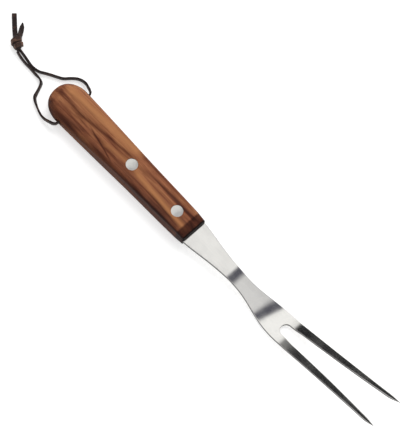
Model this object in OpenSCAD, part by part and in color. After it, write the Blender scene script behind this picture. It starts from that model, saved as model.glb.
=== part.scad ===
// Carving fork: a cranked steel fork with two tines, a part tang riveted in a hardwood handle,
// and a flat leather lace knotted into a hanging loop through the butt.
// It lies on its back along X, butt towards -X and tines towards +X, with Z = 0 at what it lies on.

/* [Overall] */
// Length from the butt to the points of the tines
fork_l = 305; // [285:1:340]

/* [Handle] */
// Length of the wooden handle
handle_l = 130.7; // [122:0.1:150]
// Thickness of the handle
handle_t = 14; // [12:0.5:17]
// Width of the handle behind its round butt
butt_w = 29.2; // [26:0.1:34]
// Width of the handle at its front end
front_w = 20.2; // [18:0.1:24]
// How far each edge is drawn in halfway along the taper
waist_in = 0.25; // [0:0.05:1]
// Length of the round butt
butt_l = 15; // [12:0.5:20]
// Radius of the long edges near the front
edge_r = 2.6; // [1.5:0.1:4]
// Length of the slope at the front end
nose_l = 6.5; // [4:0.1:9]
// Thickness left at the front end, under the slope
nose_t = 4.4; // [3.6:0.1:8]

/* [Blade] */
// Thickness of the steel
blade_t = 2.2; // [1.8:0.1:3]
// Width at the shoulders that meet the handle
shoulder_w = 20; // [17:0.1:24]
// Width at the narrowest place of the neck
neck_w = 11.1; // [9:0.1:14]
// Place of the narrowest part, from the handle's front end
neck_x = 44.3; // [36:0.1:52]
// Width of the head, before the tines part
head_w = 21.7; // [19:0.1:26]
// Place of the widest part of the head, from the handle's front end
head_x = 87.3; // [80:0.1:92]
// Radius of the broken edges of the steel
break_r = 0.45; // [0.2:0.05:0.8]

/* [Tines] */
// Place of the root of the gap, from the handle's front end
gap_x = 84.3; // [78:0.1:86]
// Radius of the root of the gap
gap_r = 4.2; // [3:0.1:5]
// Length of a tine that tapers evenly, from its point back
tine_l = 77; // [70:0.5:78]
// Width of a tine where its even taper starts
tine_w = 5.9; // [4.5:0.1:7]
// Width that the even taper reaches at the point
tine_end_w = 3.4; // [2.8:0.1:4.5]
// Middle to middle distance of the tines where the taper starts
tine_root_pitch = 15.4; // [13:0.1:17]
// Middle to middle distance of the points
tine_tip_pitch = 23; // [20:0.1:28]
// Length of the ground point
point_l = 12; // [8:0.5:18]
// Width and thickness of the very tip
tip_d = 0.5; // [0.3:0.1:1]

/* [Crank of the neck] */
// Place of the first bend, down towards the back, from the handle's front end
bend_1_x = 39.8; // [34:0.1:44]
// Place of the second bend, up again
bend_2_x = 69.3; // [62:0.1:74]
// Place of the third bend, at the root of the tines
bend_3_x = 91; // [84:0.1:96]
// Angle of the head to the handle
head_angle = 7.5; // [5:0.5:10]
// Angle of the tines where they leave the head
tine_angle = 20.5; // [15:0.5:25]
// How much flatter the tines are at their points
tine_ease = 3; // [0:0.5:5]

/* [Tang and rivets] */
// Length of the tang in the handle
tang_l = 76; // [70:1:90]
// Width of the tang
tang_w = 14; // [11:0.5:15]
// Thickness of the tang
tang_t = 2; // [1.6:0.1:2.2]
// Distance of the rear rivet from the handle's front end
rear_rivet_in = 59.7; // [50:0.1:64]
// Distance of the front rivet from the handle's front end
front_rivet_in = 17.6; // [14:0.1:24]
// Diameter of a rivet head
rivet_head_d = 8; // [7:0.1:9]
// Thickness of a rivet head at its rim
rivet_rim_t = 1; // [0.8:0.1:1.4]
// Height of the crown of a rivet head above its rim
rivet_crown = 0.3; // [0.1:0.05:0.4]
// Outside diameter of a rivet sleeve
rivet_sleeve_d = 4.8; // [4.4:0.1:5.4]
// Diameter of a rivet pin
rivet_pin_d = 3; // [2.4:0.1:3.4]
// Clearance between the tang and its mortise, and between rivets and holes
fit = 0.1; // [0.05:0.01:0.2]
// How much wider a rivet pin is than its sleeve's bore
press = 0.02; // [0.01:0.01:0.05]

/* [Hanging lace] */
// Diameter of the hole through the butt
lace_hole_d = 5; // [4.4:0.1:6]
// Distance of that hole from the butt
lace_hole_in = 17.5; // [15:0.1:22]
// Width of the flat lace
lace_w = 3.2; // [2.4:0.1:3.6]
// Thickness of the lace
lace_t = 1.4; // [1:0.1:1.6]

/* [Hidden] */
$fn = 64;
// How far a cut runs past the face it opens
over = 1;

// The fork is drawn from its butt, on the middle plane of the tang, and then moved to its place
module lying() {
    translate([-fork_l / 2, 0, handle_t / 2]) children();
}

// Straight mix of two values or points
function mix(a, b, u) = a + (b - a) * u;
// Slow start and slow end between 0 and 1; skew under 1 makes the start the quicker end
function ease(u, skew = 1) = (1 - cos(180 * pow(min(1, max(0, u)), skew))) / 2;

// A closed skin over rings of points that follow each other. Seen from the last ring, each ring
// runs counterclockwise
module skin(rings) {
    n = len(rings[0]);
    last = len(rings) - 1;
    around = [for (i = [0:last - 1], j = [0:n - 1])
        let (a = i * n + j, b = i * n + (j + 1) % n)
        each [[a, b + n, b], [a, a + n, b + n]]];
    caps = [[for (j = [0:n - 1]) j], [for (j = [n - 1:-1:0]) last * n + j]];
    polyhedron([for (r = rings) each r], concat(around, caps), convexity = 6);
}

// Handle

// The round butt starts at this angle of its arc, so that it ends in a tiny flat
butt_arc_start = 6;
butt_steps = 9;
body_steps = 12;
corner_steps = 4;
nose_back = handle_l - nose_l;
// The full round of the butt fades into the eased edges along this length
edge_soft_end = 0.55 * handle_l;

// Half the width and half the thickness of the wood at a station: [x, half width, half thickness]
function butt_station(a) = let (s = sin(a))
    [butt_l * (cos(butt_arc_start) - cos(a)), butt_w / 2 * s, handle_t / 2 * pow(s, 0.6)];
function taper_station(u) = let (x = mix(butt_l, nose_back, u))
    [x, mix(butt_w, mix(butt_w, front_w, nose_back / handle_l), u) / 2 - waist_in * sin(180 * u),
     handle_t / 2];
handle_stations = concat(
    [for (k = [0:butt_steps]) butt_station(mix(butt_arc_start, 90, k / butt_steps))],
    [for (k = [1:body_steps]) taper_station(k / body_steps)],
    [[handle_l, front_w / 2, nose_t / 2]]);

// Edge radius: a full round at the butt, a small one near the front
function handle_edge(x, hw, ht) =
    min(hw, ht) * 0.995 - (handle_t / 2 - edge_r) * ease(x / edge_soft_end) * ht * 2 / handle_t;

// One ring of the handle: four round corners, the same number of points in each
function handle_ring(s) = let (r = max(0.5, handle_edge(s[0], s[1], s[2])))
    [for (q = [0:3], k = [0:corner_steps])
        let (a = 90 * q + 90 * k / corner_steps,
             cy = (q == 0 || q == 3 ? 1 : -1) * (s[1] - r),
             cz = (q < 2 ? 1 : -1) * (s[2] - r))
        [s[0], cy + r * cos(a), cz + r * sin(a)]];

module handle_block() {
    skin([for (s = handle_stations) handle_ring(s)]);
}

module mortise() {
    translate([handle_l - tang_l - fit, -tang_w / 2 - fit, -tang_t / 2 - fit])
        cube([tang_l + fit + over, tang_w + 2 * fit, tang_t + 2 * fit]);
}

// A hole for a rivet's shank, with a seat for a head at each end
seat_depth = rivet_rim_t + rivet_crown;
module rivet_hole(from_front) {
    translate([handle_l - from_front, 0, 0]) {
        cylinder(d = rivet_sleeve_d + 2 * fit, h = handle_t + 2 * over, center = true);
        for (side = [-1, 1])
            translate([0, 0, side * (handle_t / 2 - seat_depth / 2 + over / 2)])
                cylinder(d = rivet_head_d + 2 * fit, h = seat_depth + over, center = true);
    }
}

module lace_hole() {
    translate([lace_hole_in, 0, 0]) rotate([90, 0, 0])
        cylinder(d = lace_hole_d, h = butt_w + 2 * over, center = true);
}

module handle() {
    color("saddlebrown") lying() difference() {
        handle_block();
        mortise();
        rivet_hole(rear_rivet_in);
        rivet_hole(front_rivet_in);
        lace_hole();
    }
}

// Blade

// One parabolic bend of a line that runs along X, at a place, over a length, by a change of slope
function bend(x, place, run, change) =
    let (u = min(run, max(0, x - place + run / 2)))
    change * (u * u / (2 * run) + max(0, x - place - run / 2));

// Lengths of the sharp bends, of the wide one, and of the slow bend along the tines
bend_run = 6;
wide_bend_run = 13;
ease_run = 60;
dip = (handle_t - blade_t) / 2;
head_slope = tan(head_angle);
tine_slope = tan(tine_angle);
ease_slope = tan(tine_angle - tine_ease) - tine_slope;
// The second bend rounds off the lowest corner, so the corner lies a little below the dip
drop_slope = let (rough = dip / (bend_2_x - bend_1_x))
    (dip + wide_bend_run / 2 * rough * head_slope / (head_slope + rough)) / (bend_2_x - bend_1_x);

// Height of the steel's middle plane, from the handle's front end on
function mid_z(x) = bend(x, bend_1_x, bend_run, -drop_slope)
    + bend(x, bend_2_x, wide_bend_run, drop_slope + head_slope)
    + bend(x, bend_3_x, bend_run, tine_slope - head_slope)
    + bend(x, bend_3_x + ease_run / 2, ease_run, ease_slope);
// How much thicker an upright cut is than the steel, where it slopes
function upright(x) = let (s = mid_z(x + 0.5) - mid_z(x - 0.5)) sqrt(1 + s * s);

blade_l = fork_l - handle_l;
taper_x = blade_l - tine_l;
// Straight stretch at the shoulders, and how unevenly the neck's two flanks run
shoulder_l = 0.4;
neck_skew = 0.85;
head_skew = 1.08;
root_end = gap_x + gap_r;

function tine_u(x) = (x - taper_x) / tine_l;
// The ground point: 1 behind it, falling to the tip
function point(x) = let (q = min(1, (blade_l - x) / point_l)) 1 - (1 - q) * (1 - q);
function tine_middle(x) = mix(tine_root_pitch, tine_tip_pitch, tine_u(x)) / 2;
function tine_width(x) = max(tip_d, mix(tine_w, tine_end_w, tine_u(x)) * point(x));

function outer(x) =
    x <= neck_x ? mix(shoulder_w, neck_w, ease((x - shoulder_l) / (neck_x - shoulder_l), neck_skew)) / 2
    : x <= head_x ? mix(neck_w, head_w, ease((x - neck_x) / (head_x - neck_x), head_skew)) / 2
    : x <= taper_x ? mix(head_w / 2, tine_middle(taper_x) + tine_w / 2, ease((x - head_x) / (taper_x - head_x)))
    : tine_middle(x) + tine_width(x) / 2;
function inner(x) =
    x <= gap_x ? 0
    : x <= root_end ? sqrt(gap_r * gap_r - pow(root_end - x, 2))
    : x <= taper_x ? mix(gap_r, tine_middle(taper_x) - tine_w / 2, ease((x - root_end) / (taper_x - root_end)))
    : tine_middle(x) - tine_width(x) / 2;
function thick(x) = max(tip_d, blade_t * point(x));
// The edges are just broken on the neck and grow round towards the points
function edge(x) = let (room = min(thick(x), outer(x) - inner(x)) / 2)
    min(0.9 * room, mix(break_r, room, 0.9 * ease(tine_u(x))));

// One round corner of a tine's ring as three points, from one flat to the next
function corner(y, z, in_y, in_z, r, full, flip) =
    let (cut = r * (1 - cos(45)) * full,
         p = [[y + in_y * r, z], [y + in_y * cut, z + in_z * cut], [y, z + in_z * r]])
    flip ? [p[2], p[1], p[0]] : p;

// Half of the blade at one station: its inner side is the middle plane up to the gap's root
function half_ring(x) =
    let (r = edge(x), up = upright(x), half = thick(x) * up / 2,
         middle = mid_z(x) - (blade_t * up / 2 - half),
         root = x <= gap_x ? 0 : x >= root_end ? 1 : inner(x) / gap_r)
    [for (p = concat(
        corner(inner(x), middle - half, 1, 1, r, root, true),
        corner(outer(x), middle - half, -1, 1, r, 1, false),
        corner(outer(x), middle + half, -1, -1, r, 1, true),
        corner(inner(x), middle + half, 1, -1, r, root, false)))
        [handle_l + x, p[0], p[1]]];

neck_steps = 30;
root_steps = 6;
tine_steps = 22;
point_steps = 8;
blade_stations = concat(
    [0, shoulder_l],
    [for (k = [1:neck_steps]) mix(shoulder_l, gap_x, k / neck_steps)],
    [for (k = [1:root_steps]) gap_x + gap_r * (1 - cos(90 * k / root_steps))],
    [for (k = [1:tine_steps]) mix(root_end, blade_l - point_l, k / tine_steps)],
    [for (k = [1:point_steps]) blade_l - point_l * (1 - k / point_steps)]);

module half_blade() {
    skin([for (x = blade_stations) half_ring(x)]);
}

// The part tang is ground a little thinner than the blade, and runs on into it
module tang() {
    translate([0, 0, -tang_t / 2]) linear_extrude(tang_t) difference() {
        union() {
            translate([handle_l - tang_l + tang_w / 2, 0]) circle(d = tang_w);
            translate([handle_l - tang_l + tang_w / 2, -tang_w / 2])
                square([tang_l - tang_w / 2 + over, tang_w]);
        }
        for (from_front = [rear_rivet_in, front_rivet_in])
            translate([handle_l - from_front, 0]) circle(d = rivet_sleeve_d + 2 * fit);
    }
}

module fork_blade() {
    color("lightsteelblue") lying() union() {
        tang();
        half_blade();
        mirror([0, 1, 0]) half_blade();
    }
}

// Rivets

// The sleeve stops this much short of the other head, and the pin of this one
sleeve_gap = 0.3;
crown_r = (rivet_head_d * rivet_head_d / 4 + rivet_crown * rivet_crown) / (2 * rivet_crown);
head_seat = handle_t / 2 - seat_depth;

// A head with a low crown, its seat at Z = 0 and its crown upwards
module rivet_head() {
    intersection() {
        cylinder(d = rivet_head_d, h = seat_depth);
        translate([0, 0, seat_depth - crown_r]) sphere(r = crown_r);
    }
}

module rivet_sleeve(from_front) {
    color("gainsboro") lying() translate([handle_l - from_front, 0, 0]) difference() {
        union() {
            translate([0, 0, -head_seat]) rotate([180, 0, 0]) rivet_head();
            translate([0, 0, -head_seat]) cylinder(d = rivet_sleeve_d, h = 2 * head_seat - sleeve_gap);
        }
        translate([0, 0, -head_seat]) cylinder(d = rivet_pin_d - press, h = 2 * head_seat);
    }
}

module rivet_pin(from_front) {
    color("silver") lying() translate([handle_l - from_front, 0, 0]) {
        translate([0, 0, head_seat]) rivet_head();
        translate([0, 0, -head_seat + sleeve_gap])
            cylinder(d = rivet_pin_d, h = 2 * head_seat - sleeve_gap + rivet_rim_t / 2);
    }
}

module rear_rivet_sleeve() { rivet_sleeve(rear_rivet_in); }
module rear_rivet_pin() { rivet_pin(rear_rivet_in); }
module front_rivet_sleeve() { rivet_sleeve(front_rivet_in); }
module front_rivet_pin() { rivet_pin(front_rivet_in); }

// Hanging lace

// Routes of the lace: [x, y, z, turn], x from the butt, z from the middle of the handle's thickness.
// A turn of 90 stands the lace on its edge and a turn of 0 lays it flat. A fifth number narrows it.
// A point that would sink into what the fork lies on is lifted to lie on it
upper_route = [
    [17.5, 0, 0, 90], [17.5, 7, 0, 90], [17.4, 14.2, 0, 90], [15.7, 16.5, -1.2, 90],
    [12.6, 18, -2.8, 90], [9.4, 19.1, -4.2, 90], [6.2, 18.9, -5, 90], [3, 17.4, -7, 90],
    [0, 14.4, -7, 90], [-2.8, 11, -7, 90], [-6.2, 8.8, -7, 90], [-9.8, 6.8, -7, 90],
    [-13.4, 4.6, -7, 90], [-17, 2.4, -7, 90], [-22, 1.5, -7, 90], [-27, 2.2, -7, 90],
    [-31.2, 2.8, -5, 90], [-36, 3.2, -4.4, 90]];
lower_route = [
    [17.5, 0, 0, 90], [17.5, -7, 0, 90], [17.4, -14.2, 0, 90], [15.9, -16.3, -0.8, 90],
    [13, -17, -2.2, 90], [9.6, -17.5, -3.6, 85], [6.2, -17.2, -4.8, 80], [2.6, -16.1, -7, 80],
    [-0.6, -14.8, -7, 75], [-3.6, -13.3, -7, 65], [-6, -11.4, -7, 60], [-7.3, -8.2, -7, 70],
    [-8.6, -4.8, -7, 75], [-10.2, -1.8, -7, 65], [-13, -0.5, -7, 75], [-17, -0.4, -7, 90],
    [-22, -0.1, -7, 90], [-27, -0.1, -7, 90], [-32, 0.4, -5, 90], [-36, 1.3, -4.4, 90]];
long_route = [
    [-42.4, 6, -5.2, 0], [-45.2, 8.4, -5.9, 0], [-49, 11.6, -7, 0], [-52.8, 15, -7, 0],
    [-56.4, 18.2, -7, 0]];
short_route = [
    [-41.2, 7.2, -3, 20, 1], [-42.7, 10, -4, 20, 1], [-44.5, 12.9, -5.6, 10, 1],
    [-46.3, 15.5, -7, 5, 0.9], [-48.2, 17.9, -7, 0, 0.08]];
knot_from = [-35.4, 1.4, -3.2];
knot_to = [-44.6, 8.2, -3.8];

function unit(v) = v / norm(v);
// The lace's flat section: its corners are taken off
lace_section = [for (p = [[1, -0.5], [1, 0.5], [0.75, 1], [-0.75, 1],
                          [-1, 0.5], [-1, -0.5], [-0.75, -1], [0.75, -1]])
    [p[0] * lace_w / 2, p[1] * lace_t / 2]];
function half_rise(turn) = (lace_w * abs(sin(turn)) + lace_t * abs(cos(turn))) / 2;
function spot(p) = [p[0], p[1], max(p[2], half_rise(p[3]) - handle_t / 2)];
function lace_ring(r, i) =
    let (ahead = unit(spot(r[min(i + 1, len(r) - 1)]) - spot(r[max(i - 1, 0)])),
         level = unit(cross([0, 0, 1], ahead)),
         rise = cross(ahead, level),
         broad = level * cos(r[i][3]) + rise * sin(r[i][3]),
         thin = cross(ahead, broad),
         narrow = is_undef(r[i][4]) ? 1 : r[i][4])
    [for (p = lace_section) spot(r[i]) + broad * p[0] * narrow + thin * p[1]];

// A length of flat lace along a route
module lace(route) {
    skin([for (i = [0:len(route) - 1]) lace_ring(route, i)]);
}

module lace_upper_arm() { color("#3a2a22") lying() lace(upper_route); }
module lace_lower_arm() { color("#3a2a22") lying() lace(lower_route); }
module lace_long_tail() { color("#3a2a22") lying() lace(long_route); }
module lace_short_tail() { color("#3a2a22") lying() lace(short_route); }

// The overhand knot, pulled tight: a barrel whose turns stand as ridges that wind round it
knot_d = 8.4;
knot_flat = 0.82;
knot_ridge = 0.9;
knot_turns = 3;
knot_wind = 200;
knot_rings = 14;
knot_sides = 30;
function knot_ring(u) =
    let (s = pow(sin(mix(14, 166, u)), 0.7),
         ahead = unit(knot_to - knot_from),
         level = unit(cross([0, 0, 1], ahead)),
         rise = cross(ahead, level))
    [for (k = [0:knot_sides - 1])
        let (a = 360 * k / knot_sides,
             r = s * (knot_d / 2 - knot_ridge * (1 - abs(cos((a + knot_wind * u) * knot_turns / 2)))))
        mix(knot_from, knot_to, u) + level * r * cos(a) + rise * r * knot_flat * sin(a)];
module lace_knot() {
    color("#4a352a") lying() skin([for (k = [0:knot_rings]) knot_ring(k / knot_rings)]);
}

handle();
fork_blade();
rear_rivet_sleeve();
rear_rivet_pin();
front_rivet_sleeve();
front_rivet_pin();
lace_upper_arm();
lace_lower_arm();
lace_knot();
lace_long_tail();
lace_short_tail();
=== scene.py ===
import bpy
import bmesh
from math import cos, pi, radians, sin, sqrt, tan
from mathutils import Matrix, Vector


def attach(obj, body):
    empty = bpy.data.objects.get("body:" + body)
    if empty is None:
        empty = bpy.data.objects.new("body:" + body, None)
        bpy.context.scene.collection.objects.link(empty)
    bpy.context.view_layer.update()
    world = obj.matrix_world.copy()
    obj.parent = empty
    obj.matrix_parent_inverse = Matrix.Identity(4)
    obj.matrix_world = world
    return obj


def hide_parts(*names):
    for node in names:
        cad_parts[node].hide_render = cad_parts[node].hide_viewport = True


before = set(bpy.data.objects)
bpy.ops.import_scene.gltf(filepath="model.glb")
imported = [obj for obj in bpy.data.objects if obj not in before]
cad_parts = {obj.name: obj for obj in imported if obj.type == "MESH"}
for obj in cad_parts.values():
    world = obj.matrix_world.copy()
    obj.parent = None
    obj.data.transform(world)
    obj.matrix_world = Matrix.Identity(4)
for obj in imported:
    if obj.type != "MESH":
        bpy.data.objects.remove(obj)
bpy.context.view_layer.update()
mm = 0.001

# Camera: it looks down on the fork from a long way off, leaning a little towards the near edge
# of the handle and towards the tines, and rolled so that the fork runs down from left to right.
lean_to_edge = radians(17.5)
lean_to_tines = radians(10)
roll = radians(45.8)
mm_per_pixel = 0.6406
picture_h = 433
butt_to_centre_along = 192.38
butt_to_centre_across = 16.03
camera_far = 12
butt = Vector((-152.5, 0, 7)) * mm
sideways = Vector((0, sin(lean_to_edge), -cos(lean_to_edge)))
along = Vector((cos(lean_to_tines), 0, 0)) + sideways * sin(lean_to_tines)
across = Vector((0, cos(lean_to_edge), sin(lean_to_edge)))
back = along.cross(across)
right = along * cos(roll) + across * sin(roll)
up = across * cos(roll) - along * sin(roll)
centre = butt + (along * butt_to_centre_along + across * butt_to_centre_across) * mm_per_pixel * mm
camera_data = bpy.data.cameras.new("camera")
camera_data.sensor_width = 36
camera_data.lens = camera_data.sensor_width * camera_far / (picture_h * mm_per_pixel * mm)
camera_data.clip_end = 500
camera = bpy.data.objects.new("camera", camera_data)
bpy.context.collection.objects.link(camera)
turned = Matrix((right, up, back)).transposed().to_4x4()
camera.matrix_world = Matrix.Translation(centre + back * camera_far) @ turned
bpy.context.scene.camera = camera

# Lace: one flat strip of dark brown leather, cut with raw edges, that goes through the butt and
# lies on the table. Its two arms, its knot and its two tails are made one after the other.
lace_w = 3.2
lace_t = 1.4
lace_edge_r = 0.35
floor_z = -7
steps_per_stretch = 6


def srgb(red, green, blue):
    """A colour as the eye reads it, 0 to 255, turned into the light that a shader takes."""
    parts = [c / 255 for c in (red, green, blue)]
    return [c / 12.92 if c < 0.04045 else ((c + 0.055) / 1.055) ** 2.4 for c in parts] + [1]


def leather(name, dark, light, worn):
    """Dark dyed leather: pale where the dye has rubbed off, finely grained."""
    material = bpy.data.materials.new(name)
    material.use_nodes = True
    nodes, links = material.node_tree.nodes, material.node_tree.links
    skin = nodes["Principled BSDF"]
    skin.inputs["Specular IOR Level"].default_value = 0.35
    place = nodes.new("ShaderNodeTexCoord")
    rub = nodes.new("ShaderNodeTexNoise")
    rub.inputs["Scale"].default_value = 260
    rub.inputs["Detail"].default_value = 5
    rub.inputs["Roughness"].default_value = 0.62
    links.new(place.outputs["Object"], rub.inputs["Vector"])
    dye = nodes.new("ShaderNodeValToRGB")
    dye.color_ramp.elements[0].position = 0.52 - worn
    dye.color_ramp.elements[0].color = dark
    dye.color_ramp.elements[1].position = 0.86 - worn
    dye.color_ramp.elements[1].color = light
    links.new(rub.outputs["Fac"], dye.inputs["Fac"])
    links.new(dye.outputs["Color"], skin.inputs["Base Color"])
    grain = nodes.new("ShaderNodeTexVoronoi")
    grain.inputs["Scale"].default_value = 2600
    links.new(place.outputs["Object"], grain.inputs["Vector"])
    rough = nodes.new("ShaderNodeMapRange")
    rough.inputs["To Min"].default_value = 0.42
    rough.inputs["To Max"].default_value = 0.7
    links.new(rub.outputs["Fac"], rough.inputs["Value"])
    links.new(rough.outputs["Result"], skin.inputs["Roughness"])
    relief = nodes.new("ShaderNodeBump")
    relief.inputs["Strength"].default_value = 0.5
    relief.inputs["Distance"].default_value = 0.00012
    links.new(grain.outputs["Distance"], relief.inputs["Height"])
    creases = nodes.new("ShaderNodeBump")
    creases.inputs["Strength"].default_value = 0.6
    creases.inputs["Distance"].default_value = 0.0003
    links.new(rub.outputs["Fac"], creases.inputs["Height"])
    links.new(relief.outputs["Normal"], creases.inputs["Normal"])
    links.new(creases.outputs["Normal"], skin.inputs["Normal"])
    return material


lace_leather = leather("lace_leather", srgb(33, 20, 18), srgb(92, 64, 50), 0.0)
knot_leather = leather("knot_leather", srgb(52, 34, 28), srgb(128, 94, 76), 0.12)


def add_piece(name, bm, material, body):
    """Turns a finished bmesh into a smooth piece that rides on its body."""
    mesh = bpy.data.meshes.new(name)
    bm.to_mesh(mesh)
    bm.free()
    mesh.materials.append(material)
    mesh.polygons.foreach_set("use_smooth", [True] * len(mesh.polygons))
    piece = bpy.data.objects.new(name, mesh)
    bpy.context.collection.objects.link(piece)
    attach(piece, body)
    return piece


def lifted(x, y, z, turn):
    """A route's point in metres, raised where the lace would sink into the table."""
    half_rise = (lace_w * abs(sin(radians(turn))) + lace_t * abs(cos(radians(turn)))) / 2
    return butt + Vector((x, y, max(z, half_rise + floor_z))) * mm


def smooth_line(route):
    """The route as close points on one smooth curve: (place, turn, share of the full width)."""
    knots = [(lifted(*p[:4]), p[3], p[4] if len(p) > 4 else 1) for p in route]
    line = []
    for i in range(len(knots) - 1):
        four = [knots[max(i - 1, 0)], knots[i], knots[i + 1], knots[min(i + 2, len(knots) - 1)]]
        for k in range(steps_per_stretch):
            u = k / steps_per_stretch
            weights = (-u * (1 - u) ** 2 / 2, 1 - u * u * (5 - 3 * u) / 2,
                       u * (1 + u * (4 - 3 * u)) / 2, -u * u * (1 - u) / 2)
            place = sum((p[0] * w for p, w in zip(four, weights)), Vector())
            line.append((place, *[four[1][j] + (four[2][j] - four[1][j]) * u for j in (1, 2)]))
    return line + [knots[-1]]


def ribbon(name, line, material, outward=None):
    """A flat strip bent along a line, with its real thickness and eased edges. Where outward is
    given, the strip's face looks away from that axis, as a strip wound round something does."""
    last = len(line) - 1
    bm = bmesh.new()
    bm.loops.layers.uv.new("UVMap")
    bmesh.ops.create_grid(bm, x_segments=last, y_segments=4, size=1, calc_uvs=True)
    for vert in bm.verts:
        i = round((vert.co.x + 1) / 2 * last)
        place, turn, narrow = line[i]
        ahead = (line[min(i + 1, last)][0] - line[max(i - 1, 0)][0]).normalized()
        if outward is None:
            level = Vector((0, 0, 1)).cross(ahead).normalized()
            broad = level * cos(radians(turn)) + ahead.cross(level) * sin(radians(turn))
        else:
            broad = outward(place).cross(ahead).normalized()
        vert.co = place + broad * vert.co.y * narrow * lace_w / 2 * mm
    piece = add_piece(name, bm, material, "loop")
    wall = piece.modifiers.new("thickness", "SOLIDIFY")
    wall.thickness = (lace_t - 0.1) * mm
    wall.offset = 0
    ease = piece.modifiers.new("eased edges", "BEVEL")
    ease.width = lace_edge_r * mm
    ease.segments = 2
    ease.limit_method = "ANGLE"
    return piece


upper_route = [
    (17.5, 0, 0, 90), (17.5, 7, 0, 90), (17.4, 14.2, 0, 90), (15.7, 16.5, -1.2, 90),
    (12.6, 18, -2.8, 90), (9.4, 19.1, -4.2, 90), (6.2, 18.9, -5, 90), (3, 17.4, -7, 90),
    (0, 14.4, -7, 90), (-2.8, 11, -7, 90), (-6.2, 8.8, -7, 90), (-9.8, 6.8, -7, 90),
    (-13.4, 4.6, -7, 90), (-17, 2.4, -7, 90), (-22, 1.5, -7, 90), (-27, 2.2, -7, 90),
    (-31.2, 2.8, -5, 90), (-36, 3.2, -4.4, 90)]
lower_route = [
    (17.5, 0, 0, 90), (17.5, -7, 0, 90), (17.4, -14.2, 0, 90), (15.9, -16.3, -0.8, 90),
    (13, -17, -2.2, 90), (9.6, -17.5, -3.6, 85), (6.2, -17.2, -4.8, 80), (2.6, -16.1, -7, 80),
    (-0.6, -14.8, -7, 75), (-3.6, -13.3, -7, 65), (-6, -11.4, -7, 60), (-7.3, -8.2, -7, 70),
    (-8.6, -4.8, -7, 75), (-10.2, -1.8, -7, 65), (-13, -0.5, -7, 75), (-17, -0.4, -7, 90),
    (-22, -0.1, -7, 90), (-27, -0.1, -7, 90), (-32, 0.4, -5, 90), (-36, 1.3, -4.4, 90)]
long_route = [
    (-42.4, 6, -5.2, 0), (-45.2, 8.4, -5.9, 0), (-49, 11.6, -7, 0), (-52.8, 15, -7, 0),
    (-56.4, 18.2, -7, 0)]
short_route = [
    (-41.2, 7.2, -3, 20, 1), (-42.7, 10, -4, 20, 1), (-44.5, 12.9, -5.6, 10, 1),
    (-46.3, 15.5, -7, 5, 0.9), (-48.2, 17.9, -7, 0, 0.08)]
upper_line, lower_line = smooth_line(upper_route), smooth_line(lower_route)
upper_arm = ribbon("lace_arm_upper", upper_line, lace_leather)
lower_arm = ribbon("lace_arm_lower", lower_line, lace_leather)
long_tail = ribbon("lace_tail_long", smooth_line(long_route), lace_leather)
short_tail = ribbon("lace_tail_short", smooth_line(short_route), lace_leather)

# Knot: both arms are tied together in an overhand knot, pulled tight. One strip winds over a
# packed core, so its broad turns cross the face of the knot and tuck in at both ends.
knot_from = butt + Vector((-35.4, 1.4, -3.2)) * mm
knot_to = butt + Vector((-44.6, 8.2, -3.8)) * mm
knot_r = 3.3
knot_flat = 0.82
wind_turns = 1.55
wind_steps = 60
knot_axis = (knot_to - knot_from).normalized()
knot_side = Vector((0, 0, 1)).cross(knot_axis).normalized()
knot_rise = knot_axis.cross(knot_side)
knot_middle = (knot_from + knot_to) / 2


def from_axis(place):
    """The way out from the knot's axis at a place."""
    off = place - knot_middle
    return (off - knot_axis * off.dot(knot_axis)).normalized()


wound = []
for k in range(wind_steps + 1):
    u = k / wind_steps
    angle = 2 * pi * (0.05 + wind_turns * u)
    tuck = min(1, 5 * u, 5 * (1 - u))
    reach = knot_r * (0.55 + 0.45 * sin(tuck * pi / 2)) * mm
    wound.append((knot_middle + knot_axis * (u - 0.5) * 6.2 * mm + knot_side * reach * cos(angle)
                  + knot_rise * reach * knot_flat * sin(angle), 0, 0.95))
knot = ribbon("lace_knot_turns", wound, knot_leather, outward=from_axis)
bm = bmesh.new()
bmesh.ops.create_uvsphere(bm, u_segments=40, v_segments=24, radius=1)
bmesh.ops.scale(bm, vec=Vector((knot_r * knot_flat, knot_r, 5.4)) * mm, verts=bm.verts)
for vert in bm.verts:
    vert.co = knot_middle + knot_axis * vert.co.z + knot_side * vert.co.y + knot_rise * vert.co.x
core = add_piece("lace_knot_core", bm, lace_leather, "loop")
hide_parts("lace_upper_arm")
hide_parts("lace_lower_arm")
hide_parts("lace_long_tail")
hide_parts("lace_short_tail")
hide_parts("lace_knot")

# Handle: one block of oiled reddish brown hardwood, shaped to a blunt round butt, drawn in to a
# slim front with two short slopes, its edges eased, and drilled for the lace and the rivets.
handle_l = 129.4
handle_half_t = 7
butt_half_w = 13.7
front_half_w = 9.7
waist_in = 0.65
butt_l = 14.8
front_edge_r = 2.6
nose_l = 6.5
nose_half_t = 5
edges_settle = 71
butt_steps = 14
body_steps = 60
nose_steps = 4
corner_steps = 8
hole_x = 17.5
hole_d = 5
rivet_places = (71.0, 113.1)
seat_d = 8.2
seat_depth = 1.3


def eased(u, skew=1):
    """A slow start and a slow end between 0 and 1."""
    return (1 - cos(pi * min(1, max(0, u)) ** skew)) / 2


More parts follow.
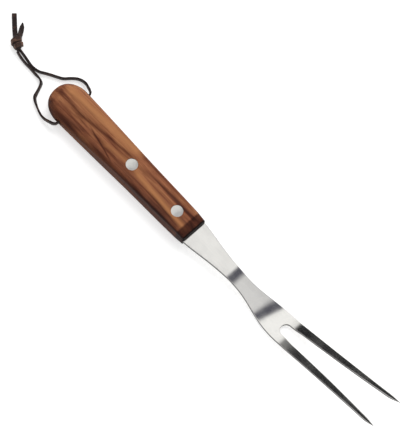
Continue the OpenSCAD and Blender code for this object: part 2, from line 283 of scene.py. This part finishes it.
def handle_station(k):
    """Distance from the butt, half width and half thickness of the wood at a station."""
    if k <= butt_steps:
        arc = pi / 2 * k / butt_steps
        return butt_l * (1 - cos(arc)), butt_half_w * sin(arc) ** 0.85, handle_half_t * sin(arc) ** 0.6
    if k <= butt_steps + body_steps:
        u = (k - butt_steps) / body_steps
        x = butt_l + (handle_l - nose_l - butt_l) * u
        half_w = butt_half_w + (front_half_w - butt_half_w) * (x - butt_l) / (handle_l - butt_l)
        return x, half_w - waist_in * sin(pi * u) ** 2, handle_half_t
    u = (k - butt_steps - body_steps) / nose_steps
    x = handle_l - nose_l * (1 - u)
    half_w = butt_half_w + (front_half_w - butt_half_w) * (x - butt_l) / (handle_l - butt_l)
    return x, half_w, handle_half_t + (nose_half_t - handle_half_t) * u


def cut_round(piece, places, diameter, depth, axis):
    """Bores round holes with the given middles through a piece."""
    cutter_mesh = bpy.data.meshes.new("cutter")
    bm = bmesh.new()
    for place in places:
        made = bmesh.ops.create_cone(bm, cap_ends=True, segments=64, radius1=diameter / 2 * mm,
                                     radius2=diameter / 2 * mm, depth=depth * mm)
        if axis == "Y":
            bmesh.ops.rotate(bm, verts=made["verts"], matrix=Matrix.Rotation(pi / 2, 3, "X"))
        bmesh.ops.translate(bm, verts=made["verts"], vec=butt + Vector(place) * mm)
    bm.to_mesh(cutter_mesh)
    bm.free()
    cutter = bpy.data.objects.new("cutter", cutter_mesh)
    bpy.context.collection.objects.link(cutter)
    cut = piece.modifiers.new("hole", "BOOLEAN")
    cut.object = cutter
    cut.solver = "EXACT"
    shaped = bpy.data.meshes.new_from_object(piece.evaluated_get(bpy.context.evaluated_depsgraph_get()))
    piece.modifiers.remove(cut)
    piece.data = shaped
    bpy.data.objects.remove(cutter)


wood = bpy.data.materials.new("handle_wood")
wood.use_nodes = True
nodes, links = wood.node_tree.nodes, wood.node_tree.links
finish = nodes["Principled BSDF"]
finish.inputs["Specular IOR Level"].default_value = 0.15
place = nodes.new("ShaderNodeTexCoord")


def streaks(stretch, detail, distortion):
    """Noise drawn out along the grain, which runs along the handle."""
    mapping = nodes.new("ShaderNodeMapping")
    mapping.inputs["Scale"].default_value = stretch
    mapping.inputs["Rotation"].default_value = (0, 0, radians(1.5))
    links.new(place.outputs["Object"], mapping.inputs["Vector"])
    noise = nodes.new("ShaderNodeTexNoise")
    noise.inputs["Scale"].default_value = 1
    noise.inputs["Detail"].default_value = detail
    noise.inputs["Distortion"].default_value = distortion
    links.new(mapping.outputs["Vector"], noise.inputs["Vector"])
    return noise.outputs["Fac"]


def mixed(kind, share, one, other):
    """Two colours blended, by a share that is a number or a socket."""
    mix = nodes.new("ShaderNodeMix")
    mix.data_type = "RGBA"
    mix.blend_type = kind
    for socket, value in ((mix.inputs["Factor"], share), (mix.inputs["A"], one), (mix.inputs["B"], other)):
        if isinstance(value, bpy.types.NodeSocket):
            links.new(value, socket)
        else:
            socket.default_value = value
    return mix.outputs["Result"]


def between(value, low, high, to_low=0, to_high=1):
    """A value taken from one range to another."""
    span = nodes.new("ShaderNodeMapRange")
    span.inputs["From Min"].default_value = low
    span.inputs["From Max"].default_value = high
    span.inputs["To Min"].default_value = to_low
    span.inputs["To Max"].default_value = to_high
    links.new(value, span.inputs["Value"])
    return span.outputs["Result"]


broad_figure = streaks((14, 95, 95), 3, 1.2)
fine_figure = streaks((26, 420, 420), 7, 0.6)
pores = streaks((160, 3200, 3200), 2, 0)
tone = nodes.new("ShaderNodeValToRGB")
tone.color_ramp.elements[0].position = 0.3
tone.color_ramp.elements[0].color = srgb(98, 57, 43)
tone.color_ramp.elements[1].position = 0.72
tone.color_ramp.elements[1].color = srgb(190, 134, 90)
middle_tone = tone.color_ramp.elements.new(0.5)
middle_tone.color = srgb(158, 100, 70)
links.new(broad_figure, tone.inputs["Fac"])
lined = mixed("MULTIPLY", between(fine_figure, 0.36, 0.62, 0.75, 0), tone.outputs["Color"], srgb(140, 96, 80))
pored = mixed("MULTIPLY", between(pores, 0.58, 0.7, 0, 0.55), lined, srgb(110, 70, 55))
spot = nodes.new("ShaderNodeSeparateXYZ")
links.new(place.outputs["Object"], spot.inputs["Vector"])


def vein(start, end, half_width, strength):
    """Share of a vein of other coloured wood between two places on the handle, in millimetres."""
    run = Vector(end) - Vector(start)
    along_vein = nodes.new("ShaderNodeMapping")
    along_vein.vector_type = "TEXTURE"
    along_vein.inputs["Location"].default_value = (butt.x + start[0] * mm, start[1] * mm, 0)
    along_vein.inputs["Rotation"].default_value = (0, 0, run.to_2d().angle_signed(Vector((1, 0))))
    links.new(place.outputs["Object"], along_vein.inputs["Vector"])
    apart = nodes.new("ShaderNodeSeparateXYZ")
    links.new(along_vein.outputs["Vector"], apart.inputs["Vector"])
    wavy = nodes.new("ShaderNodeMath")
    links.new(apart.outputs["Y"], wavy.inputs[0])
    links.new(between(broad_figure, 0.3, 0.7, -0.0007, 0.0007), wavy.inputs[1])
    off = nodes.new("ShaderNodeMath")
    off.operation = "ABSOLUTE"
    links.new(wavy.outputs[0], off.inputs[0])
    share = between(off.outputs[0], half_width * mm, half_width * 0.15 * mm, 0, strength)
    for low, high in ((-0.003, 0.003), (run.length * mm + 0.004, run.length * mm - 0.004)):
        both = nodes.new("ShaderNodeMath")
        both.operation = "MULTIPLY"
        links.new(share, both.inputs[0])
        links.new(between(apart.outputs["X"], low, high), both.inputs[1])
        share = both.outputs[0]
    return share


figured = pored
pale_veins = (((6, 5.6), (70, 8.6), 4.5, 0.75), ((76, -1.8), (126, -5.2), 2.8, 0.8),
              ((48, -3.5), (76, 0), 2.6, 0.45))
for vein_of_wood in pale_veins:
    figured = mixed("MIX", vein(*vein_of_wood), figured, srgb(192, 132, 86))
dark_veins = (((2, 0.6), (26, -0.9), 1.7, 0.7), ((24, -1), (69, 4), 1.9, 0.8),
              ((36, -2.5), (60, -8.8), 0.9, 0.85), ((78, 3.4), (118, 5.2), 2.2, 0.35))
for vein_of_wood in dark_veins:
    figured = mixed("MULTIPLY", vein(*vein_of_wood), figured, srgb(140, 108, 104))
# Painted shade: the lower half of the handle, away from the lamp, is darkened in the wood's colour.
lower_half_painted_shade = between(spot.outputs["Y"], 0.002, -0.009, 0, 0.6)
shaded = mixed("MULTIPLY", lower_half_painted_shade, figured, srgb(196, 186, 178))
facing = nodes.new("ShaderNodeSeparateXYZ")
links.new(place.outputs["Normal"], facing.inputs["Vector"])
# Painted shade: faces that turn to the handle's lower side are darkened in the wood's colour.
lower_side_painted_shade = between(facing.outputs["Y"], -0.35, -0.85, 0, 0.9)
side_shaded = mixed("MULTIPLY", lower_side_painted_shade, shaded, srgb(168, 148, 136))
# Painted shade: the sloped nose at the front of the handle is darkened in the wood's colour.
nose_painted_shade = between(spot.outputs["X"], -0.0300, -0.0288, 0, 0.9)
nose_shaded = mixed("MULTIPLY", nose_painted_shade, side_shaded, srgb(122, 98, 102))
# Painted shade: the handle's front end face, where it meets the blade, is painted near black.
end_face_painted_shade = between(facing.outputs["X"], 0.6, 0.9, 0, 0.95)
end_shaded = mixed("MULTIPLY", end_face_painted_shade, nose_shaded, srgb(70, 55, 55))
links.new(end_shaded, finish.inputs["Base Color"])
links.new(between(fine_figure, 0.3, 0.7, 0.5, 0.68), finish.inputs["Roughness"])
relief = nodes.new("ShaderNodeBump")
relief.inputs["Strength"].default_value = 0.35
relief.inputs["Distance"].default_value = 0.00015
links.new(pores, relief.inputs["Height"])
grain_relief = nodes.new("ShaderNodeBump")
grain_relief.inputs["Strength"].default_value = 0.25
grain_relief.inputs["Distance"].default_value = 0.0003
links.new(fine_figure, grain_relief.inputs["Height"])
links.new(relief.outputs["Normal"], grain_relief.inputs["Normal"])
links.new(grain_relief.outputs["Normal"], finish.inputs["Normal"])

stations = butt_steps + body_steps + nose_steps
points_round = 4 * (corner_steps + 1)
bm = bmesh.new()
bmesh.ops.create_grid(bm, x_segments=stations, y_segments=points_round, size=1)
for vert in bm.verts:
    x, half_w, half_t = handle_station(round((vert.co.x + 1) / 2 * stations))
    less_round = (handle_half_t - front_edge_r) * eased(x / edges_settle) * half_t / handle_half_t
    edge_r = min(half_w, half_t) * 0.995 - less_round
    turn = round((vert.co.y + 1) / 2 * points_round) % points_round
    corner, step = divmod(turn, corner_steps + 1)
    angle = pi / 2 * (corner + step / corner_steps)
    side = 1 if corner in (0, 3) else -1
    top = 1 if corner < 2 else -1
    vert.co = butt + Vector((x, side * (half_w - edge_r) + edge_r * cos(angle),
                             top * (half_t - edge_r) + edge_r * sin(angle))) * mm
bmesh.ops.remove_doubles(bm, verts=bm.verts, dist=1e-7)
bmesh.ops.holes_fill(bm, edges=[e for e in bm.edges if e.is_boundary], sides=0)
bmesh.ops.recalc_face_normals(bm, faces=bm.faces)
handle = add_piece("handle_block", bm, wood, "fork")
cut_round(handle, [(hole_x, 0, 0)], hole_d, 60, "Y")
cut_round(handle, [(x, 0, side * (handle_half_t - seat_depth + 1)) for x in rivet_places for side in (-1, 1)],
          seat_d, 2, "Z")
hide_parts("handle")
keep_flats = handle.modifiers.new("even shading", "WEIGHTED_NORMAL")
keep_flats.keep_sharp = True

# Blade: one steel blank, pressed and ground. A part tang goes into the handle; from the shoulders
# it narrows to a waisted neck, cranks down and up again, and ends in a head with two tines.
blade_l = 305 - handle_l
blade_t = 2.2
shoulder_w = 19.4
neck_w = 10.4
neck_x = 45
head_w = 20.7
head_x = 85.7
gap_x = 82.7
gap_r = 4.1
tine_l = 76
tine_w = 5.4
tine_end_w = 2.7
root_pitch = 15.5
tip_pitch = 23.5
tine_bow = 0.35
point_l = 10
tip_d = 0.5
break_r = 0.45
dip = 5.9
bends = ((39.6, 10), (73, 21), (90, 6))
head_slope = tan(radians(10))
tine_slope = tan(radians(18))
drop_slope = dip / (bends[1][0] - bends[0][0])
for _ in range(8):
    valley_rise = bends[1][1] / 2 * drop_slope * head_slope / (drop_slope + head_slope)
    drop_slope = (dip + valley_rise) / (bends[1][0] - bends[0][0])
second_bend_skew = 0.5
skew_reach = 30
tang_l = 75
tang_half_w = 7
taper_x = blade_l - tine_l
root_end = gap_x + gap_r


def bent(x, bend, change):
    """One parabolic bend of a line along X: a change of slope spread over a short run."""
    place, run = bend
    u = min(run, max(0, x - place + run / 2))
    return change * (u * u / (2 * run) + max(0, x - place - run / 2))


def middle_z(x):
    """Height of the steel's middle plane over the tang, at a distance from the handle."""
    return (bent(x, bends[0], -drop_slope) + bent(x, bends[1], drop_slope + head_slope)
            + bent(x, bends[2], tine_slope - head_slope))


def tine_share(x):
    return (x - taper_x) / tine_l


def ground(x):
    """1 behind the ground point of a tine, falling to its tip."""
    return 1 - (1 - min(1, max(0, (blade_l - x) / point_l))) ** 2


def tine_middle(x):
    u = tine_share(x)
    return (root_pitch + (tip_pitch - root_pitch) * u) / 2 - tine_bow * 4 * u * (1 - u)


def tine_width(x):
    return max(tip_d, (tine_w + (tine_end_w - tine_w) * tine_share(x)) * ground(x))


def outer(x):
    """Half the blade's width."""
    if x <= neck_x:
        return (shoulder_w + (neck_w - shoulder_w) * eased(x / neck_x, 0.72)) / 2
    if x <= head_x:
        return (neck_w + (head_w - neck_w) * eased((x - neck_x) / (head_x - neck_x), 0.97)) / 2
    if x <= taper_x:
        wide = tine_middle(taper_x) + tine_w / 2
        return head_w / 2 + (wide - head_w / 2) * eased((x - head_x) / (taper_x - head_x))
    return tine_middle(x) + tine_width(x) / 2


def inner(x):
    """Half the width of the gap between the tines."""
    if x <= gap_x:
        return 0
    if x <= root_end:
        return sqrt(gap_r ** 2 - (root_end - x) ** 2)
    if x <= taper_x:
        wide = tine_middle(taper_x) - tine_w / 2
        return gap_r + (wide - gap_r) * eased((x - root_end) / (taper_x - root_end))
    return tine_middle(x) - tine_width(x) / 2


round_tang = [(-tang_l + tang_half_w * (1 - cos(a)), tang_half_w * max(0.02, sin(a)))
              for a in [pi / 2 * k / 8 for k in range(9)]]
neck_stations = [0.4 + (gap_x - 0.4) * k / 110 for k in range(111)]
root_stations = [gap_x + gap_r * (1 - cos(pi / 2 * k / 14)) for k in range(1, 15)]
tine_stations = [root_end + (blade_l - point_l - root_end) * k / 70 for k in range(1, 71)]
point_stations = [blade_l - point_l * (1 - k / 16) for k in range(1, 17)]
steel_stations = [0] + neck_stations + root_stations + tine_stations + point_stations
sections = [(x, half_w, 0, 2.0, 0.3, 0) for x, half_w in round_tang + [(-0.01, tang_half_w)]]
for x in steel_stations:
    thick = max(tip_d, blade_t * ground(x))
    room = min(thick, outer(x) - inner(x)) / 2
    round_r = min(0.9 * room, break_r + (room - break_r) * 0.9 * eased((tine_share(x) - 0.35) / 0.6))
    open_share = 0 if x <= gap_x else 1 if x >= root_end else inner(x) / gap_r
    sections.append((x, outer(x), inner(x), thick, round_r, open_share))
corner_points = 5
ring = 4 * corner_points
bm = bmesh.new()
bmesh.ops.create_grid(bm, x_segments=len(sections) - 1, y_segments=ring, size=1)
for vert in bm.verts:
    x, out, inn, thick, round_r, open_share = sections[round((vert.co.x + 1) / 2 * (len(sections) - 1))]
    corner, step = divmod(round((vert.co.y + 1) / 2 * ring) % ring, corner_points)
    angle = pi / 2 * (corner - 2 + step / (corner_points - 1))
    is_inner = corner in (0, 3)
    r_y = round_r * open_share if is_inner else round_r
    slope = middle_z(x + 0.5) - middle_z(x - 0.5)
    half = thick / 2
    y = inn + r_y + r_y * cos(angle) if is_inner else out - round_r + round_r * cos(angle)
    face = -1 if corner < 2 else 1
    z = face * (half - r_y) + r_y * sin(angle)
    vert.co = Vector((x, y, (z + (blade_t - thick) / 2 * (x > 0)) * sqrt(1 + slope * slope)))
bmesh.ops.remove_doubles(bm, verts=bm.verts, dist=1e-4)
bmesh.ops.delete(bm, geom=[f for f in bm.faces if all(abs(v.co.y) < 1e-5 for v in f.verts)], context="FACES")
bmesh.ops.mirror(bm, geom=bm.verts[:] + bm.edges[:] + bm.faces[:], axis="Y", merge_dist=1e-4)
bmesh.ops.holes_fill(bm, edges=[e for e in bm.edges if e.is_boundary], sides=0)
bmesh.ops.recalc_face_normals(bm, faces=bm.faces)
for vert in bm.verts:
    near_second = max(0, 1 - abs(vert.co.x - bends[1][0]) / skew_reach)
    bend_at = vert.co.x - second_bend_skew * eased(near_second) * vert.co.y
    vert.co = butt + Vector((handle_l + vert.co.x, vert.co.y, vert.co.z + middle_z(bend_at))) * mm

steel = bpy.data.materials.new("blade_steel")
steel.use_nodes = True
nodes, links = steel.node_tree.nodes, steel.node_tree.links
metal = nodes["Principled BSDF"]
metal.inputs["Metallic"].default_value = 1
metal.inputs["Anisotropic"].default_value = 0.25
place = nodes.new("ShaderNodeTexCoord")
ground_lines = streaks((60, 5200, 5200), 4, 0)
cloud = streaks((90, 120, 120), 3, 0)
facing = nodes.new("ShaderNodeSeparateXYZ")
links.new(place.outputs["Normal"], facing.inputs["Vector"])
level = nodes.new("ShaderNodeMath")
level.operation = "ABSOLUTE"
links.new(facing.outputs["Z"], level.inputs[0])
# Painted shade: the steel's edges and rounded flanks, which turn away from its faces, get a dark base colour.
edge_painted_shade = between(level.outputs[0], 0.72, 0.4)
lined = mixed("MIX", between(ground_lines, 0.3, 0.7), srgb(234, 233, 229), srgb(246, 244, 239))
links.new(mixed("MIX", edge_painted_shade, lined, srgb(70, 68, 68)), metal.inputs["Base Color"])
finish_grade = nodes.new("ShaderNodeMath")
links.new(between(cloud, 0.3, 0.7, 0.13, 0.19), finish_grade.inputs[0])
links.new(between(level.outputs[0], 0.72, 0.4, 0, 0.25), finish_grade.inputs[1])
links.new(finish_grade.outputs[0], metal.inputs["Roughness"])
scratches = nodes.new("ShaderNodeBump")
scratches.inputs["Strength"].default_value = 0.05
scratches.inputs["Distance"].default_value = 0.00002
links.new(ground_lines, scratches.inputs["Height"])
links.new(scratches.outputs["Normal"], metal.inputs["Normal"])
blade = add_piece("blade_ground", bm, steel, "fork")
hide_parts("fork_blade")
even = blade.modifiers.new("even shading", "WEIGHTED_NORMAL")
even.keep_sharp = True

# Rivets: two aluminium compression rivets through the handle and the tang. The turned heads have
# a low crown with fine rings from the turning and small scuffs, and sit flush in drilled seats.
for number, x in enumerate(rivet_places):
    rivet_metal = bpy.data.materials.new("rivet_metal_%d" % number)
    rivet_metal.use_nodes = True
    nodes, links = rivet_metal.node_tree.nodes, rivet_metal.node_tree.links
    metal = nodes["Principled BSDF"]
    metal.inputs["Metallic"].default_value = 1
    place = nodes.new("ShaderNodeTexCoord")
    centred = nodes.new("ShaderNodeMapping")
    centred.inputs["Location"].default_value = (-(butt.x + x * mm), 0, 0)
    links.new(place.outputs["Object"], centred.inputs["Vector"])
    rings = nodes.new("ShaderNodeTexWave")
    rings.wave_type = "RINGS"
    rings.rings_direction = "Z"
    rings.inputs["Scale"].default_value = 900
    rings.inputs["Distortion"].default_value = 0.6
    links.new(centred.outputs["Vector"], rings.inputs["Vector"])
    scuffs = nodes.new("ShaderNodeTexNoise")
    scuffs.inputs["Scale"].default_value = 260
    scuffs.inputs["Detail"].default_value = 5
    links.new(place.outputs["Object"], scuffs.inputs["Vector"])
    rubbed = between(scuffs.outputs["Fac"], 0.35, 0.65)
    links.new(mixed("MIX", rubbed, srgb(230, 229, 225), srgb(243, 241, 235)), metal.inputs["Base Color"])
    links.new(between(scuffs.outputs["Fac"], 0.3, 0.7, 0.3, 0.42), metal.inputs["Roughness"])
    relief = nodes.new("ShaderNodeBump")
    relief.inputs["Strength"].default_value = 0.05
    relief.inputs["Distance"].default_value = 0.00003
    links.new(rings.outputs["Fac"], relief.inputs["Height"])
    links.new(relief.outputs["Normal"], metal.inputs["Normal"])
    for half in ("sleeve", "pin"):
        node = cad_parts[("rear", "front")[number] + "_rivet_" + half]
        node.data.materials.clear()
        node.data.materials.append(rivet_metal)

# Table: a plain white sheet. It shows white to the camera and in the steel, and still takes the
# soft shadow of the fork.
bm = bmesh.new()
bmesh.ops.create_grid(bm, x_segments=1, y_segments=1, size=6)
table_mesh = bpy.data.meshes.new("table")
bm.to_mesh(table_mesh)
bm.free()
table = bpy.data.objects.new("table", table_mesh)
bpy.context.collection.objects.link(table)
paper = bpy.data.materials.new("paper")
paper.use_nodes = True
nodes, links = paper.node_tree.nodes, paper.node_tree.links
nodes["Principled BSDF"].inputs["Base Color"].default_value = (0.8, 0.8, 0.8, 1)
nodes["Principled BSDF"].inputs["Roughness"].default_value = 0.9
nodes["Principled BSDF"].inputs["Specular IOR Level"].default_value = 0
nodes["Principled BSDF"].inputs["Emission Color"].default_value = (1, 1, 1, 1)
seen_by = nodes.new("ShaderNodeLightPath")
seen = nodes.new("ShaderNodeMath")
seen.operation = "MAXIMUM"
links.new(seen_by.outputs["Is Camera Ray"], seen.inputs[0])
links.new(seen_by.outputs["Is Glossy Ray"], seen.inputs[1])
glow = nodes.new("ShaderNodeMath")
glow.operation = "MULTIPLY"
glow.inputs[1].default_value = 0.5
links.new(seen.outputs[0], glow.inputs[0])
links.new(glow.outputs[0], nodes["Principled BSDF"].inputs["Emission Strength"])
table_mesh.materials.append(paper)

# Studio: white walls all round, a dark flag past the butt that the rising tines mirror, a narrow
# one overhead that the neck's two bends mirror, and one broad soft lamp behind the far edge.
world = bpy.data.worlds.new("studio")
bpy.context.scene.world = world
world.use_nodes = True
nodes, links = world.node_tree.nodes, world.node_tree.links
way = nodes.new("ShaderNodeTexCoord")
parts = nodes.new("ShaderNodeSeparateXYZ")
links.new(way.outputs["Generated"], parts.inputs["Vector"])
flags = nodes.new("ShaderNodeValToRGB")
flags.color_ramp.interpolation = "LINEAR"
flags.color_ramp.elements[0].position = 0.0
flags.color_ramp.elements[0].color = (0.012, 0.012, 0.014, 1)
flags.color_ramp.elements[1].position = 1.0
flags.color_ramp.elements[1].color = (0.76, 0.76, 0.77, 1)
dark_flag = (0.012, 0.012, 0.014, 1)
for position, colour in ((0.195, dark_flag), (0.225, (1, 1, 1, 1)), (0.43, (1, 1, 1, 1)),
                         (0.452, (0.07, 0.07, 0.095, 1)), (0.54, (0.07, 0.07, 0.095, 1)),
                         (0.585, (0.76, 0.76, 0.77, 1))):
    flags.color_ramp.elements.new(position).color = colour
links.new(between(parts.outputs["X"], -1, 1), flags.inputs["Fac"])
near_wall = between(parts.outputs["Y"], -0.45, -0.7)
walls = mixed("MIX", near_wall, flags.outputs["Color"], (0.5, 0.5, 0.51, 1))
seen_by = nodes.new("ShaderNodeLightPath")
in_steel = mixed("MIX", seen_by.outputs["Is Glossy Ray"], (0.62, 0.62, 0.62, 1), walls)
shown = nodes.new("ShaderNodeMath")
shown.operation = "MAXIMUM"
links.new(seen_by.outputs["Is Camera Ray"], shown.inputs[0])
links.new(seen_by.outputs["Is Transmission Ray"], shown.inputs[1])
links.new(mixed("MIX", shown.outputs[0], in_steel, (1, 1, 1, 1)), nodes["Background"].inputs["Color"])
lamp_data = bpy.data.lights.new("soft_lamp", "SUN")
lamp_data.energy = 1.3
lamp_data.angle = radians(40)
lamp = bpy.data.objects.new("soft_lamp", lamp_data)
bpy.context.collection.objects.link(lamp)
lamp.visible_glossy = False
lamp.rotation_euler = Vector((-0.35, 0.55, 0.9)).to_track_quat("Z", "Y").to_euler()
bpy.context.scene.view_settings.view_transform = "Standard"
